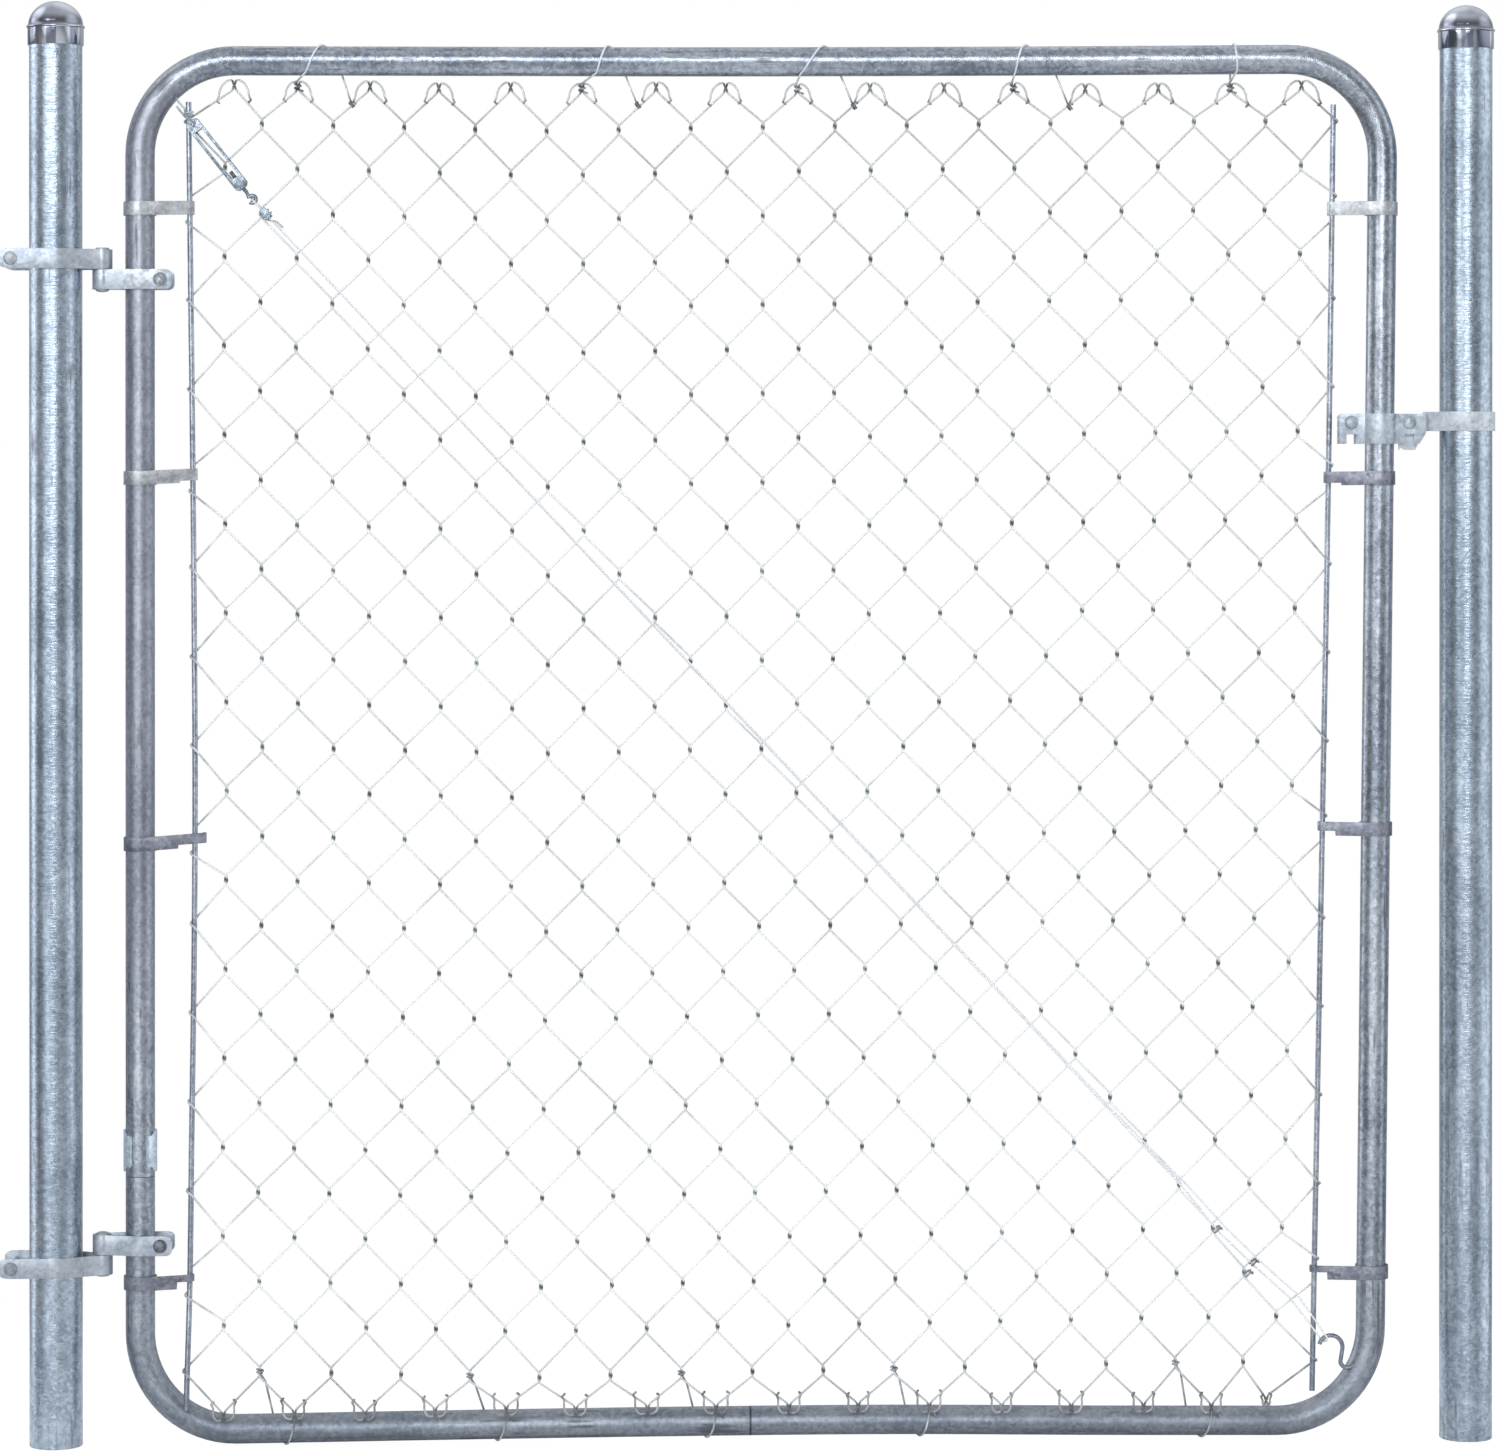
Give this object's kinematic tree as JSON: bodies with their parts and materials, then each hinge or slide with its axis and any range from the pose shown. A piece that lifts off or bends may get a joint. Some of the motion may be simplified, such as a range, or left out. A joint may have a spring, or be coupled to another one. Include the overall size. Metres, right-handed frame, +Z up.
{
  "type": "chain link gate",
  "caption": "Chain link walk gate in a rounded tube frame, hung by strap hinges between two capped posts, with a lift latch and a diagonal truss cable.",
  "frame": {"origin": "on the foot of the hinge post at ground level, in the middle of the tube's wall on the side away from the gate", "axes": "+X along the gate from the hinge post to the latch post, +Z up, -Y towards the viewer; the gate's centre plane is y = 0"},
  "size_m": [1.7104, 0.0801, 1.6455],
  "materials": {
    "post_zinc": "galvanised, weathered",
    "frame_zinc": "galvanised, weathered, streaked",
    "strap_zinc": "galvanised, pale",
    "band_zinc": "galvanised, dulled",
    "bolt_zinc": "zinc plated, dulled",
    "bright_zinc": "bright zinc plating",
    "wire_zinc": "galvanised wire",
    "cap_aluminium": "cast and bright"
  },
  "bodies": {
    "posts": {"hinge_post": "post_zinc", "latch_post": "post_zinc", "hinge_post_cap": "cap_aluminium", "latch_post_cap": "cap_aluminium", "strike_band": "strap_zinc", "upper_post_hinge_strap": "strap_zinc", "lower_post_hinge_strap": "strap_zinc", "upper_post_hinge_bolt": "bolt_zinc", "lower_post_hinge_bolt": "bolt_zinc", "upper_hinge_pin": "bolt_zinc", "lower_hinge_pin": "bolt_zinc"},
    "gate": {"frame_tube": "frame_zinc", "splice_clip": "bright_zinc", "hinge_side_bar": "frame_zinc", "latch_side_bar": "frame_zinc", "hinge_side_band_1": "band_zinc", "hinge_side_band_2": "band_zinc", "hinge_side_band_3": "band_zinc", "hinge_side_band_4": "band_zinc", "latch_side_band_1": "band_zinc", "latch_side_band_2": "band_zinc", "latch_side_band_3": "band_zinc", "latch_side_band_4": "band_zinc", "mesh_hinge_half": "wire_zinc", "mesh_latch_half": "wire_zinc", "upper_gate_hinge_strap": "strap_zinc", "upper_gate_hinge_bolt": "bolt_zinc", "lower_gate_hinge_strap": "strap_zinc", "lower_gate_hinge_bolt": "bolt_zinc", "turnbuckle_body": "bright_zinc", "truss_anchor_wire": "wire_zinc", "turnbuckle_eye_rod": "bright_zinc", "truss_cable": "wire_zinc", "cable_clip": "bright_zinc", "truss_s_hook": "wire_zinc"},
    "latch_collar": {"latch_front_half": "strap_zinc", "latch_back_half": "strap_zinc", "latch_inner_bolt": "bolt_zinc", "latch_outer_bolt": "bolt_zinc"}
  },
  "joints": [
    {"name": "gate_swing", "type": "hinge", "parent": "posts", "child": "gate", "pos_m": [0.08195, 0, 0.779], "axis": [0, 0, 1], "range_deg": [-100, 100]},
    {"name": "latch_lift", "type": "slide", "parent": "gate", "child": "latch_collar", "axis": [0, 0, 1], "range_m": [0, 0.05]}
  ]
}
